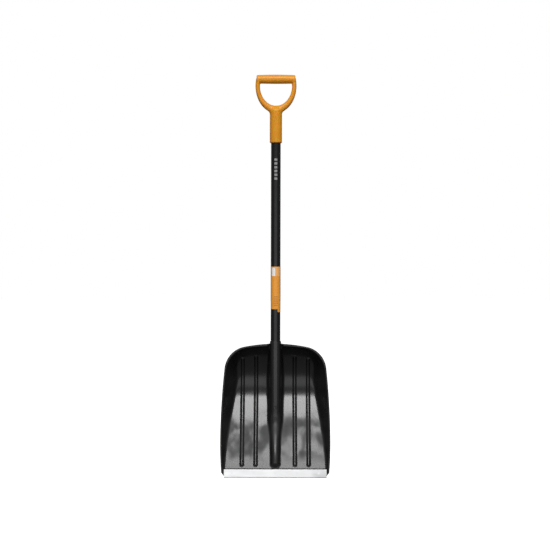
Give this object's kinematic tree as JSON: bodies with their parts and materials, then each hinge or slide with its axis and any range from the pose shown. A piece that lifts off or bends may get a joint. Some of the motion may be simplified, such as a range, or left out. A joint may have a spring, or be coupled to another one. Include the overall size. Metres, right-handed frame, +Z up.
{
  "type": "snow shovel",
  "caption": "Scoop snow shovel with a ribbed plastic blade, a metal edge strip, a straight tube shaft and a D-shaped hand grip.",
  "frame": {"origin": "under the middle of the shovel's bounding box, at the height of the lowest line of the edge strip", "axes": "+Z up along the shaft towards the grip, with the shovel standing upright on its edge; -Y is the side that the scoop opens to; X runs across the blade"},
  "size_m": [0.3568, 0.1421, 1.31],
  "materials": {
    "blade": "black polypropylene, smooth satin with light scuffs",
    "grip": "orange plastic, satin",
    "shaft": "aluminium tube with a smooth satin black coating",
    "label": "printed orange label with a plain white patch, satin",
    "strip": "bare rolled aluminium sheet",
    "rivets": "bare aluminium",
    "screws": "black zinc plated steel",
    "plugs": "black plastic, as moulded"
  },
  "bodies": {
    "root": {"blade": "blade", "edge_strip": "strip", "edge_rivet_1": "rivets", "edge_rivet_2": "rivets", "edge_rivet_3": "rivets", "edge_rivet_4": "rivets", "edge_rivet_5": "rivets", "shaft_tube": "shaft", "lower_shaft_plug": "plugs", "upper_shaft_plug": "plugs", "socket_screw": "screws", "grip_screw": "screws", "shaft_label": "label", "d_grip": "grip"}
  },
  "joints": []
}
